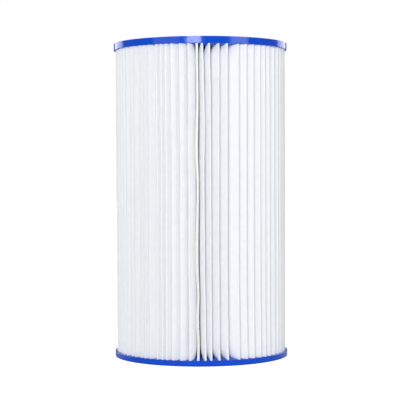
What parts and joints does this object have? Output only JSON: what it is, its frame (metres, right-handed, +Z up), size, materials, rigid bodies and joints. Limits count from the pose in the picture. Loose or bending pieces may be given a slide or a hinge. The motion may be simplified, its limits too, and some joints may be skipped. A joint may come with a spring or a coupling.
{
  "type": "filter cartridge",
  "caption": "Cylindrical pleated water filter cartridge: a folded non-woven sheet round a perforated core, cast into flat ring end caps.",
  "frame": {"origin": "centre of the bottom end cap's outer face, where the cartridge stands", "axes": "+Z up the cartridge's axis; -Y is the front, where the sheet's glued seam is"},
  "size_m": [0.11, 0.11, 0.1978],
  "materials": {
    "end_cap": "cast, smooth and glossy, saturated blue",
    "core": "moulded, satin white",
    "filter_sheet": "non-woven fibre sheet, cool white, matt",
    "glue": "set hot glue, milky"
  },
  "bodies": {
    "root": {"bottom_end_cap": "end_cap", "top_end_cap": "end_cap", "core_lower_half": "core", "core_upper_half": "core", "pleated_sheet": "filter_sheet", "seam_glue": "glue"}
  },
  "joints": []
}
